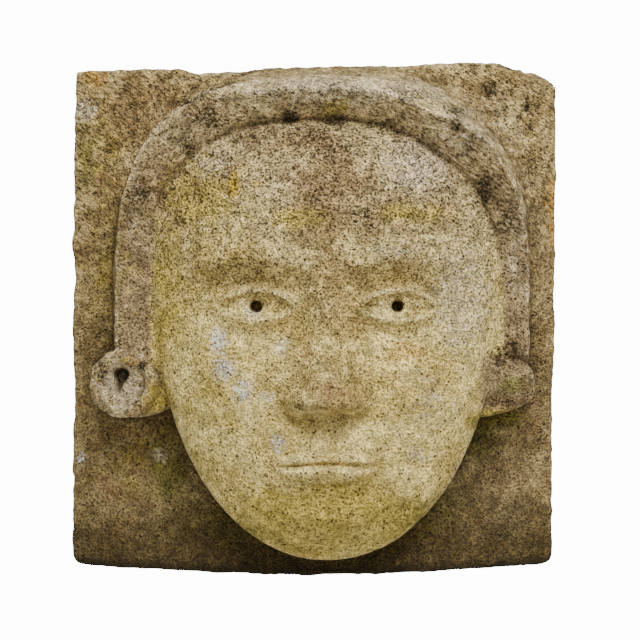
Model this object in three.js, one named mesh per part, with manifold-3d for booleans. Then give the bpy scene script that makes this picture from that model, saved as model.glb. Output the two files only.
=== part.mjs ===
// A stone corbel: one squared block with a human head in high relief on its front, framed by a rolled
// hood band that ends in two ear bosses. The whole is carved from one stone.
//
// Frame: millimetres, X across the front, Z up, front towards -Y. The origin is the middle of the flat
// back, where the stone meets the wall. "Relief" is how far the carving stands in front of the ground,
// the sunk flat round the head.
import * as THREE from "three";
import { mergeVertices } from "three/addons/utils/BufferGeometryUtils.js";
import Module from "manifold-3d";

// --- driving dimensions -------------------------------------------------------------------------

// The squared stone. ground is how far the ground stands in front of the back. The top climbs by
// topRise from the middle to the right end, and the underside hangs by sag in its middle.
const BLOCK = { halfWidth: 150, bottom: -155, top: 155.6, topRise: 2.8, sag: 3, ground: 108, wornArris: 4 };

// The ground sweeps forward under the chin, is fuller all across its upper half, which it reaches between
// the levels upperFrom and upperTo, and rises a little more beside the band.
const SWEEP = { under: 28, underFade: 60, upper: 14, upperFrom: -75, upperTo: 20, beside: 9, besideFade: 24 };

// The head is an egg about its widest level. drop is the height of the crisp edge of the cheek, crown
// the further rise to the middle of the face, and chinLean what the chin comes forward besides.
const HEAD = { x: 7.5, z: 20, halfWidth: 106, up: 107, chinZ: -146, drop: 36, crown: 40, chinLean: 16 };

// The face follows the usual rule of thirds, from the hairline under the band to the chin, and an eye
// is a fifth of the head's width.
const HAIRLINE_Z = 119;
const THIRD = (HAIRLINE_Z - HEAD.chinZ) / 3;
const BROW_Z = HAIRLINE_Z - THIRD;
const NOSE_Z = BROW_Z - THIRD;
const MOUTH_Z = NOSE_Z - THIRD / 3;
const EYE = { width: (2 * HEAD.halfWidth) / 5, z: BROW_Z - 25, pupil: 3.7, drilled: 12 };

// The hood band: its outlines left and right of the head's middle, and its squareness at each shoulder.
const BAND = {
  outer: { left: 129, right: 123.5, up: 126.5, squareLeft: 2.55, squareRight: 2.25 },
  inner: { left: 107.5, right: 108, up: 99, squareLeft: 2.7, squareRight: 2.05 },
  crestLow: 41,
  crestTop: 66,
  innerDropLow: 3,
  innerDropTop: 17,
  slope: 6,
  endZ: -27,
};

// The bosses: the left one is a dished ring, joined to the cheek by a web of stone. The right one is a
// plain lobe. The hole in the ring is shaped like a tear, with its point down.
const RING_BOSS = { x: -116, z: -40.5, radius: 20.8, relief: 46, dish: 13.5, dished: 3.4 };
const TEAR_HOLE = { x: -117.3, z: -35, radius: 5.2, tail: 12, tailLean: 1.8, deep: 13 };
const LOBE_BOSS = { x: 113, z: -42, halfWidth: 21.5, halfHeight: 19.5, relief: 41 };
const WEB_OF_STONE = { x: -94, z: -41, width: 22, height: 38, relief: 37 };

// The upper right corner is broken away along one face, which falls to the right and rises to the back.
const BREAK = { x: 118, z: 159, fall: 0.42, rise: 0.25 };

// The front is sampled on a net: spokes from the middle of the face to the edge of the block, and rings
// over the face, the band and the ground. wall is the width over which a steep wall is drawn.
const NET = { z: -35, acrossSegments: 28, upSegments: 28, face: 24, band: 5, ground: 3, wall: 3.2 };

// --- small curves -------------------------------------------------------------------------------

const { clamp, lerp } = THREE.MathUtils;

// 0 at a, 1 at b and smooth between, for a and b in either order.
function ease(a, b, value) {
  const u = clamp((value - a) / (b - a), 0, 1);
  return u * u * (3 - 2 * u);
}

// The higher of two reliefs, with a fillet about this wide where they meet.
function merged(a, b, soft) {
  return 0.5 * (a + b + Math.hypot(a - b, soft)) - 0.25 * soft;
}

// A rounded swelling of height 1 at (cx, cz) that fades over rx and rz.
function swelling(x, z, cx, cz, rx, rz) {
  return Math.exp(-(((x - cx) / rx) ** 2) - ((z - cz) / rz) ** 2);
}

// 0 at the middle, 1 on the outline of a squared oval with these half sizes.
function ovalShare(x, z, halfX, halfZ, square) {
  return (Math.abs(x / halfX) ** square + Math.abs(z / halfZ) ** square) ** (1 / square);
}

// --- the outlines seen from the front -------------------------------------------------------------

function headShare(x, z) {
  const u = x - HEAD.x;
  const v = z - HEAD.z;
  return v > 0
    ? ovalShare(u, v, HEAD.halfWidth, HEAD.up, 2.4)
    : ovalShare(u, v, HEAD.halfWidth, HEAD.z - HEAD.chinZ, 2.05);
}

// A line of the band: an arch over the head that runs straight down at both sides.
function archShare(x, z, line) {
  const u = x - HEAD.x;
  const half = u < 0 ? line.left : line.right;
  const square = lerp(line.squareRight, line.squareLeft, ease(40, -40, u));
  return ovalShare(u, Math.max(z - HEAD.z, 0), half, line.up, square);
}

const outerArch = (x, z) => archShare(x, z, BAND.outer);
const innerArch = (x, z) => archShare(x, z, BAND.inner);

// 0 along the cheeks and 1 over the forehead.
const aloft = (z) => ease(20, 110, z);

// 1 where the band passes over the crown of the head.
const overCrown = (x, z) => aloft(z) * ease(80, 35, Math.abs(x - HEAD.x));

// The width over which the band's outer side falls to the ground: steep at the sides, sloping over the
// crown and at the right shoulder.
function outerWall(x, z) {
  const rightShoulder = ease(15, 60, x - HEAD.x) * ease(30, 80, z);
  return NET.wall + BAND.slope * (overCrown(x, z) + rightShoulder);
}

// How far a point lies outside the outline on which its share is 1, less than 0 inside it.
function outside(x, z, share) {
  if (share < 0.05) return -HEAD.halfWidth;
  return Math.hypot(x - HEAD.x, z - HEAD.z) * (1 - 1 / share);
}

const topAt = (x) => BLOCK.top + BLOCK.topRise * (x / BLOCK.halfWidth);
const bottomAt = (x) => BLOCK.bottom - BLOCK.sag * (1 - (x / BLOCK.halfWidth) ** 2);

// --- the relief, one function for each carved form ------------------------------------------------

function groundRelief(x, z, fromOuter) {
  const across = clamp(1 - (x / BLOCK.halfWidth) ** 2, 0, 1);
  const under = SWEEP.under * across * Math.exp((BLOCK.bottom - z) / SWEEP.underFade);
  const upper = SWEEP.upper * ease(SWEEP.upperFrom, SWEEP.upperTo, z);
  return under + upper + SWEEP.beside * ease(SWEEP.besideFade, 1, fromOuter) * ease(-30, 30, z);
}

function domeRelief(x, z) {
  const dome = (1 - Math.min(headShare(x, z), 1) ** 2.6) ** 0.68;
  return HEAD.drop + HEAD.crown * dome + HEAD.chinLean * ease(-20, HEAD.chinZ, z);
}

// Brows, eyes and cheeks are the same on both sides, so u counts outward from the nose.
function browRelief(u, z) {
  const along = clamp((u - 8) / 78, 0, 1);
  const arc = BROW_Z - 2 + 9 * Math.sin(along * Math.PI * 0.8) - 6 * along;
  const width = z > arc ? 11 : 8;
  return 5.5 * Math.exp(-(((z - arc) / width) ** 2)) * ease(2, 22, u) * ease(96, 66, u);
}

function eyeRelief(u, z) {
  const out = u - EYE.width;
  const up = z - EYE.z;
  const socket = 8.5 * Math.exp(-(((out + 3) / 27) ** 2) - (up / 19) ** 2);
  const ball = 8.5 * Math.exp(-(((out / 21) ** 2 + (up / 12) ** 2) ** 2));
  return ball - socket;
}

function cheekRelief(u, z) {
  return 4.5 * swelling(u, z, 62, -32, 27, 24) - 2 * swelling(u, z, 84, 6, 12, 26);
}

function noseRelief(u, z) {
  const root = BROW_Z - 4;
  const share = (root - z) / (root - (NOSE_Z + 9));
  const down = clamp(share, 0, 1);
  const underside = ease(NOSE_Z - 5, NOSE_Z + 6, z);
  const bridge = (7 + 16 * down ** 1.25) * Math.exp(-((u / (10 + 8 * down ** 1.6)) ** 2.6));
  const wing = 8 * swelling(u, z, 16.5, NOSE_Z + 6.5, 7.5, 8) * ease(NOSE_Z - 5.5, NOSE_Z + 3, z);
  const tip = 3 * swelling(u, z, 0, NOSE_Z + 11, 12, 10);
  return bridge * underside * ease(-0.42, 0.22, share) + wing + tip;
}

function mouthRelief(u, z) {
  const half = EYE.width * 0.76;
  const up = z - MOUTH_Z;
  const lips = 5 * swelling(u, up, 0, 5.5, half, 4.5) + 6 * swelling(u, up, 0, -6.5, half, 5.5);
  const muzzle = 5 * swelling(u, up, 0, 0, 36, 24);
  const hollow = 4 * swelling(u, up, 0, -19.5, 25, 6.5);
  return muzzle + lips - hollow;
}

function faceRelief(x, z) {
  const u = Math.abs(x - HEAD.x);
  const chin = 8 * swelling(u, z, 0, HEAD.chinZ + 27, 24, 15);
  return (
    domeRelief(x, z) + browRelief(u, z) + eyeRelief(u, z) + cheekRelief(u, z) +
    noseRelief(u, z) + mouthRelief(u, z) + chin
  );
}

// The band is a roll whose crest lies close to its outer edge. It stands highest over the forehead, where
// its outer side falls away to the top of the block.
function bandRelief(fromInner, fromOuter, top, crown) {
  const across = clamp(fromInner / Math.max(fromInner - fromOuter, 1e-3), 0, 1);
  const crestAt = lerp(1, 0.66, crown);
  const innerDrop = lerp(BAND.innerDropLow, BAND.innerDropTop, top);
  const inner = Math.max((crestAt - across) / crestAt, 0) ** 1.3 * innerDrop;
  const outer = Math.max((across - crestAt) / Math.max(1 - crestAt, 1e-3), 0) ** 2 * 20 * crown;
  return lerp(BAND.crestLow, BAND.crestTop, top) - inner - outer;
}

// The whole front. Below the band's ends the head stands on the ground with a steep edge. Above them it
// runs out under the band, and meets the band's inner side in a fillet.
function relief(x, z) {
  const fromHead = outside(x, z, headShare(x, z));
  const fromInner = outside(x, z, innerArch(x, z));
  const fromOuter = outside(x, z, outerArch(x, z));
  const top = aloft(z);
  const above = ease(BAND.endZ - 6, BAND.endZ + 3, z);
  const ground = groundRelief(x, z, fromOuter);
  const plain = faceRelief(x, z);
  const foot = lerp(BAND.crestLow - BAND.innerDropLow, BAND.crestTop - BAND.innerDropTop, top);
  const face = lerp(plain, merged(plain, foot, 7), above);
  const head = lerp(ground, face, ease(NET.wall, -1, fromHead - 14 * above));
  const onBand = ease(outerWall(x, z), -0.6, fromOuter);
  const band = lerp(ground, bandRelief(fromInner, fromOuter, top, overCrown(x, z)), onBand);
  const groove = 2.8 * top * above * Math.exp(-((fromInner / 1.9) ** 2));
  return lerp(head, band, ease(-1.5, 1.8, fromInner) * above) - groove;
}

// --- the block with its carved front ---------------------------------------------------------------

// Points round the block's outline, anticlockwise from the lower left as seen from the front. Each
// corner is cut off by the worn arris.
function blockOutline() {
  const { halfWidth, wornArris } = BLOCK;
  const inset = halfWidth - wornArris;
  const points = [];
  const line = (count, pointAt) => {
    for (let i = 0; i <= count; i++) points.push(pointAt(i / count));
  };
  const upTo = (side, share) => lerp(bottomAt(side) + wornArris, topAt(side) - wornArris, share);
  const acrossTo = (share) => lerp(-inset, inset, share);
  line(NET.acrossSegments, (share) => [acrossTo(share), bottomAt(acrossTo(share))]);
  line(NET.upSegments, (share) => [halfWidth, upTo(halfWidth, share)]);
  line(NET.acrossSegments, (share) => [acrossTo(1 - share), topAt(acrossTo(1 - share))]);
  line(NET.upSegments, (share) => [-halfWidth, upTo(-halfWidth, 1 - share)]);
  return points;
}

// The fraction of a spoke at which it leaves an outline.
function crossing(tip, shareAt) {
  let inner = 0;
  let outer = 1;
  for (let i = 0; i < 30; i++) {
    const middle = (inner + outer) / 2;
    if (shareAt(lerp(HEAD.x, tip[0], middle), lerp(NET.z, tip[1], middle)) < 1) inner = middle;
    else outer = middle;
  }
  return inner;
}

// The points of one spoke: evenly over the face, close together at the two steep walls, and evenly over
// the band and the ground. Below the band's ends its rings crowd together at the foot of the jaw.
function spokePoints(tip) {
  const length = Math.hypot(tip[0] - HEAD.x, tip[1] - NET.z);
  const jaw = crossing(tip, headShare) * length;
  const arch = crossing(tip, innerArch) * length;
  const rim = crossing(tip, outerArch) * length;
  const besideBand = lerp(NET.z, tip[1], arch / length) > BAND.endZ;
  const edge = besideBand ? arch : jaw;
  const foot = Math.min(besideBand ? rim : Math.min(rim, jaw + 22), length - 6);
  const distances = [];
  const run = (count, from, to) => {
    for (let i = 0; i <= count; i++) distances.push(lerp(from, to, i / count));
  };
  run(NET.face - 1, (edge - 1) / NET.face, edge - 1);
  run(NET.band, Math.min(edge + NET.wall, foot - 1), foot);
  const at = (distance) => [lerp(HEAD.x, tip[0], distance / length), lerp(NET.z, tip[1], distance / length)];
  run(NET.ground, Math.min(foot + outerWall(...at(foot)), length - 2), length);
  return distances.map((distance) => {
    const [x, z] = at(distance);
    return [x, -BLOCK.ground - relief(x, z), z];
  });
}

// True where the diagonal from a to c lies closer to the carved surface than the one from b to d.
function cutsBetter(a, b, c, d) {
  const [x, z] = [0, 2].map((axis) => (a[axis] + b[axis] + c[axis] + d[axis]) / 4);
  const wanted = -BLOCK.ground - relief(x, z);
  return Math.abs((a[1] + c[1]) / 2 - wanted) < Math.abs((b[1] + d[1]) / 2 - wanted);
}

function carvedBlock() {
  const outline = blockOutline();
  const spokes = outline.map((tip) => [...spokePoints(tip), [tip[0], 0, tip[1]]]);
  const perSpoke = spokes[0].length;
  const middle = [HEAD.x, -BLOCK.ground - relief(HEAD.x, NET.z), NET.z];
  const positions = [middle, ...spokes.flat()];
  const indexOf = (spoke, ring) => 1 + (spoke % spokes.length) * perSpoke + ring;
  const faces = [];
  for (let j = 0; j < spokes.length; j++) {
    faces.push([0, indexOf(j, 0), indexOf(j + 1, 0)]);
    for (let k = 0; k + 1 < perSpoke; k++) {
      const quad = [indexOf(j, k), indexOf(j, k + 1), indexOf(j + 1, k + 1), indexOf(j + 1, k)];
      const [a, b, c, d] = quad;
      const onFlank = k + 2 === perSpoke;
      const straight = onFlank || cutsBetter(...quad.map((index) => positions[index]));
      faces.push(...(straight ? [[a, b, c], [a, c, d]] : [[a, b, d], [b, c, d]]));
    }
  }
  const back = perSpoke - 1;
  for (let j = 1; j + 1 < spokes.length; j++) {
    faces.push([indexOf(0, back), indexOf(j + 1, back), indexOf(j, back)]);
  }
  const geometry = new THREE.BufferGeometry();
  geometry.setAttribute("position", new THREE.Float32BufferAttribute(positions.flat(), 3));
  geometry.setIndex(faces.flat());
  return geometry;
}

// --- the bosses, the drilled holes and the break ------------------------------------------------------

// A boss turned about an axis that points out of the front. profile lists [radius, relief] from the root,
// which is sunk in the block, to the middle of the face, and the radius is stretched to halfX by halfZ.
function turnedBoss(profile, x, z, halfX, halfZ) {
  const root = -BLOCK.ground / 2;
  const points = [[0, root], [profile[0][0], root], ...profile].map(([r, y]) => new THREE.Vector2(r, y));
  const lathe = new THREE.LatheGeometry(points, 36).scale(halfX, 1, halfZ);
  return lathe.rotateX(Math.PI).translate(x, -BLOCK.ground, z);
}

// A quarter round from the side of a boss to its face, with radii in shares of the boss's own radius.
function roundedEdge(inner, height, depth) {
  const steps = 6;
  return Array.from({ length: steps + 1 }, (_, i) => {
    const angle = (i / steps) * (Math.PI / 2);
    return [inner + (1 - inner) * Math.cos(angle), height - depth + depth * Math.sin(angle)];
  });
}

function ringBoss() {
  const { x, z, radius, relief: height, dish, dished } = RING_BOSS;
  const rim = dish / radius;
  const floor = height - dished;
  const profile = [...roundedEdge(0.88, height, 3.5), [rim, height - 0.3], [rim * 0.9, floor], [0, floor]];
  return turnedBoss(profile, x, z, radius, radius);
}

function lobeBoss() {
  const { x, z, halfWidth, halfHeight, relief: height } = LOBE_BOSS;
  const profile = [...roundedEdge(0.55, height, 9), [0.3, height - 1.5], [0, height - 2]];
  return turnedBoss(profile, x, z, halfWidth, halfHeight);
}

function webOfStone() {
  const { x, z, width, height, relief: rise } = WEB_OF_STONE;
  const depth = rise + BLOCK.ground / 2;
  return new THREE.BoxGeometry(width, depth, height).translate(x, depth / 2 - BLOCK.ground - rise, z);
}

// A drilled hole, a little narrower at its floor, which lies so deep below the surface at that relief.
function drilledHole(x, z, radius, surface, deep) {
  const over = 30;
  const bit = new THREE.CylinderGeometry(radius * 0.85, radius, deep + over, 16);
  return bit.translate(x, -BLOCK.ground - surface + (deep - over) / 2, z);
}

function tearHole() {
  const { x, z, radius, tail, tailLean, deep } = TEAR_HOLE;
  const over = 30;
  const shape = new THREE.Shape().absarc(0, 0, radius, -0.35, Math.PI + 0.35, false);
  shape.lineTo(-tailLean, -tail);
  const bit = new THREE.ExtrudeGeometry(shape, { depth: deep + over, bevelEnabled: false, curveSegments: 16 });
  return bit.rotateX(Math.PI / 2).translate(x, -BLOCK.ground - RING_BOSS.relief + deep, z);
}

function brokenCorner() {
  const size = 400;
  const wedge = new THREE.BoxGeometry(size, size, size).translate(0, 0, size / 2);
  wedge.rotateX(Math.atan(BREAK.rise)).rotateY(Math.atan(BREAK.fall));
  return wedge.translate(BREAK.x, -BLOCK.ground, BREAK.z);
}

// --- joining ------------------------------------------------------------------------------------------

const wasm = await Module();
wasm.setup();

function solidOf(geometry) {
  for (const name of ["normal", "uv"]) geometry.deleteAttribute(name);
  const merged = mergeVertices(geometry, 1e-4);
  const vertProperties = merged.attributes.position.array;
  return new wasm.Manifold(new wasm.Mesh({ numProp: 3, vertProperties, triVerts: merged.index.array }));
}

function geometryOf(solid) {
  const mesh = solid.getMesh();
  const geometry = new THREE.BufferGeometry();
  geometry.setAttribute("position", new THREE.BufferAttribute(mesh.vertProperties, 3));
  geometry.setIndex(new THREE.BufferAttribute(mesh.triVerts, 1));
  geometry.computeVertexNormals();
  return geometry;
}

let stone = solidOf(carvedBlock());
for (const boss of [ringBoss(), lobeBoss(), webOfStone()]) stone = stone.add(solidOf(boss));

const cuts = [brokenCorner(), tearHole()];
for (const side of [-1, 1]) {
  const x = HEAD.x + side * EYE.width;
  cuts.push(drilledHole(x, EYE.z, EYE.pupil, relief(x, EYE.z), EYE.drilled));
}
for (const cut of cuts) stone = stone.subtract(solidOf(cut));

const limestone = new THREE.MeshStandardMaterial({ color: 0xa08d62, roughness: 0.95, metalness: 0 });
const corbel = new THREE.Mesh(geometryOf(stone), limestone);
corbel.name = "corbel";

const group = new THREE.Group();
group.add(corbel);
export default group;
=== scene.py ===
import math

import bpy
import numpy as np
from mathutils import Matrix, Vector


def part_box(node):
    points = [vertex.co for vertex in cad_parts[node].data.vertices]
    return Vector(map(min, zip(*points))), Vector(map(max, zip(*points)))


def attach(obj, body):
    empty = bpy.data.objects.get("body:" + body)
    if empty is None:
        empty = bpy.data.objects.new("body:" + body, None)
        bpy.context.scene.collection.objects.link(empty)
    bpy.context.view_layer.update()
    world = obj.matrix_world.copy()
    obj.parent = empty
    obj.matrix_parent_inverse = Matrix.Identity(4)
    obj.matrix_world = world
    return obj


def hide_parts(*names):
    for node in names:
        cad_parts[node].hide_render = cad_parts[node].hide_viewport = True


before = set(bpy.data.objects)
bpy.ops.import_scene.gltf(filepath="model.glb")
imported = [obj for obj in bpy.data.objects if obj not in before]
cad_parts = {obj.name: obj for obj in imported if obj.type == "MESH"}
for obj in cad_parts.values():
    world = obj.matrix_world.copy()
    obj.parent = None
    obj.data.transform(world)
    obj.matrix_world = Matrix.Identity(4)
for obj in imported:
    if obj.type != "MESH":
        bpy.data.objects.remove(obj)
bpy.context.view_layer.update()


# ---------------------------------------------------------------------------------------------
# The view: level and square to the front, from a little over a metre, as a stone is recorded.
# ---------------------------------------------------------------------------------------------
stone_low, stone_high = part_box("corbel")
AIM = Vector((0.0035, 0.0, -0.0016))
DISTANCE_FROM_GROUND = 1.15
GROUND_DEPTH = 0.108                     # from the flat back to the sunk ground round the head

camera_data = bpy.data.cameras.new("level_view")
camera_data.sensor_width = 36.0
camera_data.lens = 102.7
camera = bpy.data.objects.new("level_view", camera_data)
camera.location = (AIM.x, -(GROUND_DEPTH + DISTANCE_FROM_GROUND), AIM.z)
camera.rotation_euler = (math.radians(90), 0, 0)
bpy.context.scene.collection.objects.link(camera)
bpy.context.scene.camera = camera


# ---------------------------------------------------------------------------------------------
# The block: a squared piece of oolitic limestone, sawn flat behind and dressed on its beds and
# flanks. Its front is sunk to a rough ground, from which the carving is left standing.
# All carving is worked in millimetres: x across, z up, and relief forward from the ground.
# ---------------------------------------------------------------------------------------------
MM = 0.001
GROUND = GROUND_DEPTH / MM
HALF_WIDTH = stone_high[0] / MM
BOTTOM = -155.0
TOP = 155.6
TOP_RISE = 2.8                           # the top bed climbs this much from the middle to the right
SAG = 3.0                                # the underside hangs this much in its middle
FOOT_SWELL, UPPER_RISE = 28.0, 14.0      # how far the ground is left fuller at its foot and above
random = np.random.default_rng(11)
LATTICE = 32
lattice = random.random((LATTICE, LATTICE, LATTICE))


def ease(a, b, value):
    """0 at a, 1 at b and smooth between, for a and b in either order."""
    u = np.clip((value - a) / (b - a), 0, 1)
    return u * u * (3 - 2 * u)


def lerp(a, b, share):
    return a + (b - a) * share


def merged(a, b, soft):
    """The higher of two reliefs, with a fillet about this wide where they meet."""
    return 0.5 * (a + b + np.sqrt((a - b) ** 2 + soft ** 2)) - 0.25 * soft


def swelling(x, z, cx, cz, rx, rz):
    """A rounded rise of height 1 at (cx, cz) that fades over rx and rz."""
    return np.exp(-(((x - cx) / rx) ** 2) - ((z - cz) / rz) ** 2)


def oval_share(x, z, half_x, half_z, square):
    """0 in the middle of a squared oval, 1 on its outline."""
    return (np.abs(x / half_x) ** square + np.abs(z / half_z) ** square) ** (1 / square)


def rough(x, y, z, size, shift=0.0):
    """Smooth noise from -1 to 1 whose lumps are about this many millimetres across."""
    q = [(x + 0.37 * z) / size + shift, (y + 0.29 * x) / size + shift, (z - 0.41 * y) / size + shift]
    low = [np.floor(v).astype(int) for v in q]
    t = [ease(0, 1, v - whole) for v, whole in zip(q, low)]
    total = 0
    for corner in range(8):
        bits = [(corner >> axis) & 1 for axis in range(3)]
        cell = [(low[axis] + bits[axis]) % LATTICE for axis in range(3)]
        weight = 1
        for axis in range(3):
            weight = weight * (t[axis] if bits[axis] else 1 - t[axis])
        total = total + weight * lattice[cell[0], cell[1], cell[2]]
    return 2 * total - 1


def top_at(x):
    """The top bed: it climbs to the right, and is knocked a little lower for a stretch on the left."""
    knocked = 1.6 * ease(-82, -76, x) * ease(-22, -42, x)
    return TOP + TOP_RISE * x / HALF_WIDTH + 1.2 * ease(-70, -90, x) + 1.4 * ease(50, 85, x) - knocked


def bottom_at(x):
    return BOTTOM - SAG * (1 - (x / HALF_WIDTH) ** 2)


def left_at(z):
    return -HALF_WIDTH - 1.1 + 0.011 * z + 1.2 * np.exp(-(((z - 18) / 28) ** 2))


def right_at(z):
    return HALF_WIDTH + 0.2 + 0.004 * z - 1.4 * np.exp(-(((z - 12) / 14) ** 2))


def ground_relief(x, z):
    """The sunk ground: fuller under the chin and all across its upper half."""
    across = np.clip(1 - (x / HALF_WIDTH) ** 2, 0, 1)
    scar = 3.5 * swelling(x, z, -144, 44, 12, 4)
    return FOOT_SWELL * across * np.exp((BOTTOM - z) / 60) + UPPER_RISE * ease(-75, 20, z) + scar


# ---------------------------------------------------------------------------------------------
# The head: an egg in high relief, cut square to the ground at its edge and rounded to the front.
# The face is a plain, calm one on the rule of thirds, with eyes a fifth of the head wide.
# ---------------------------------------------------------------------------------------------
HEAD_X, HEAD_Z = 7.5, 20.0
HEAD_HALF = 106.0
HEAD_UP = 107.0
CHIN_Z = -146.0
HAIRLINE_Z = 119.0
THIRD = (HAIRLINE_Z - CHIN_Z) / 3
BROW_Z = HAIRLINE_Z - THIRD
NOSE_Z = BROW_Z - THIRD
MOUTH_Z = NOSE_Z - THIRD / 3
EYE_WIDTH = 2 * HEAD_HALF / 5
EYE_Z = BROW_Z - 25
PUPIL_RADIUS = 3.7


def head_share(x, z):
    u, v = x - HEAD_X, z - HEAD_Z
    above = oval_share(u, np.maximum(v, 0), HEAD_HALF, HEAD_UP, 2.4)
    below = oval_share(u, np.minimum(v, 0), HEAD_HALF, HEAD_Z - CHIN_Z, 2.05)
    return np.where(v > 0, above, below)


def outside(x, z, share):
    """How far a point lies outside the outline on which its share is 1, less than 0 inside."""
    from_middle = np.hypot(x - HEAD_X, z - HEAD_Z)
    return np.where(share < 0.05, -HEAD_HALF, from_middle * (1 - 1 / np.maximum(share, 0.05)))


def dome(x, z):
    rounding = (1 - np.minimum(head_share(x, z), 1) ** 2.6) ** 0.68
    return 36 + 40 * rounding + 16 * ease(-20, CHIN_Z, z)


def brows(u, z):
    along = np.clip((u - 8) / 78, 0, 1)
    arc = BROW_Z - 1 + 9 * np.sin(along * math.pi * 0.8) - 6 * along
    width = np.where(z > arc, 12.0, 6.0)
    return 6.2 * np.exp(-(((z - arc) / width) ** 2)) * ease(0, 24, u) * ease(96, 62, u)


def eyes(u, z):
    out, up = u - EYE_WIDTH, z - EYE_Z
    socket = 9.0 * np.exp(-(((out + 3) / 27) ** 2) - ((up - 1) / 19) ** 2)
    ball = 8.5 * np.exp(-(((out / 23) ** 2 + (up / 13) ** 2) ** 2))
    half = EYE_WIDTH * 0.52
    bow = np.clip(1 - (out / half) ** 2, 0, 1)
    over = up - 8.4 * bow ** 0.8 * (1 + 0.06 * out / half)
    under = -6.0 * bow ** 0.85 - up
    ends = ease(half + 6, half - 5, np.abs(out))
    lids = 3.2 * np.exp(-(((over - 2.2) / 2.3) ** 2)) + 2.3 * np.exp(-(((under - 2.0) / 2.1) ** 2))
    crease = 2.2 * np.exp(-(((over - 7.4) / 2.2) ** 2))
    opening = ease(1.2, -1.2, over) * ease(1.2, -1.2, under) * ease(half + 0.5, half - 1, np.abs(out))
    pupil = 12 * ease(PUPIL_RADIUS + 0.5, PUPIL_RADIUS - 0.7, np.hypot(out + 0.5, up - 0.8))
    return ball - socket + (lids - crease) * ends - 1.8 * opening - pupil


def cheeks(u, z):
    fold_along = u * 0.86 + (z - NOSE_Z + 8) * 0.5
    fold_across = (z - NOSE_Z + 8) * 0.86 - u * 0.5
    fold = 1.3 * swelling(fold_along, fold_across, 31, -12, 5.5, 18)
    return 4.5 * swelling(u, z, 60, -32, 28, 25) - 2.0 * swelling(u, z, 84, 6, 12, 26) - fold


def nose(u, z):
    root = BROW_Z - 4
    share = (root - z) / (root - (NOSE_Z + 9))
    down = np.clip(share, 0, 1)
    underside = ease(NOSE_Z - 5, NOSE_Z + 7, z - 0.05 * u)
    half = 10 + 6.5 * down ** 1.6
    bridge = (7 + 14.5 * down ** 1.25) * np.exp(-((u / half) ** 2.4))
    tip = 3.2 * swelling(u, z, 0, NOSE_Z + 11, 11, 9.5)
    wing = 8.2 * swelling(u, z, 15.5, NOSE_Z + 6.8, 6.8, 7.4) * ease(NOSE_Z - 5, NOSE_Z + 3, z)
    rim = np.hypot(u - 15.5, (z - NOSE_Z - 7) / 1.1)
    crease = 2.2 * np.exp(-(((rim - 11) / 2.6) ** 2)) * ease(3, 12, u - 8)
    nostril = 4.5 * swelling(u, z, 8.5, NOSE_Z - 0.5, 4.2, 2.8)
    return bridge * underside * ease(-0.42, 0.22, share) + tip + wing - crease - nostril


def mouth(u, z):
    half = EYE_WIDTH * 0.74
    bow = np.clip(1 - (u / half) ** 2, 0, 1)
    line = MOUTH_Z + 0.9 * np.cos(np.clip(u / half, -1.3, 1.3) * math.pi)
    up = z - line
    high = 9.0 * bow ** 0.7 - 1.5 * np.exp(-((u / 5.0) ** 2))
    low = 10.5 * bow ** 0.75
    upper = np.clip(1 - ((up - high * 0.42) / (high * 0.62 + 0.4)) ** 2, 0, 1) ** 0.8 * 4.0 * bow ** 0.4
    lower = np.clip(1 - ((up + low * 0.46) / (low * 0.58 + 0.4)) ** 2, 0, 1) ** 0.8 * 5.2 * bow ** 0.4
    parting = 3.4 * np.exp(-((up / 1.5) ** 2)) * ease(half + 3, half - 6, u)
    corner = 2.2 * swelling(u, z, half + 1, MOUTH_Z - 0.5, 5, 4.4)
    philtrum = 1.2 * np.exp(-((u / 4.2) ** 2))
    philtrum = philtrum * ease(MOUTH_Z + 8, MOUTH_Z + 13, z) * ease(NOSE_Z, NOSE_Z - 7, z)
    muzzle = 5 * swelling(u, z, 0, MOUTH_Z, 36, 24)
    hollow = 3.6 * swelling(u, z, 0, MOUTH_Z - 19.5, 25, 7)
    lips = np.maximum(upper * (up > -1), lower * (up < 1))
    return muzzle + lips - parting - corner - philtrum - hollow


def face(x, z):
    u = np.abs(x - HEAD_X)
    chin = 7.5 * swelling(u, z, 0, CHIN_Z + 27, 25, 16)
    return dome(x, z) + brows(u, z) + eyes(u, z) + cheeks(u, z) + nose(u, z) + mouth(u, z) + chin


# ---------------------------------------------------------------------------------------------
# The hood band: a plain roll carved round the head like the edge of a hood. It stands highest over
# the forehead, is undercut by a groove along its inner side and runs straight down to both bosses.
# ---------------------------------------------------------------------------------------------
BAND_OUTER = dict(left=129.0, right=123.5, up=126.5, square_left=2.55, square_right=2.25)
BAND_INNER = dict(left=107.5, right=108.0, up=99.0, square_left=2.7, square_right=2.05)
BAND_END_Z = -27.0
CREST_LOW, CREST_TOP = 41.0, 66.0
WALL = 3.2                               # the width over which a steep cut wall falls
UNDER_BAND = 14.0                        # how far the head runs on under the band
FILLET = 7.0                             # the width of the fillet between the head and the band


def arch_share(x, z, left, right, up, square_left, square_right):
    """0 in the middle of an arch on straight legs, 1 on its outline."""
    u = x - HEAD_X
    half = np.where(u < 0, left, right)
    square = lerp(square_right, square_left, ease(40, -40, u))
    return oval_share(u, np.maximum(z - HEAD_Z, 0), half, up, square)


def aloft(z):
    """0 along the cheeks and 1 over the forehead."""
    return ease(20, 110, z)


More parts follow.
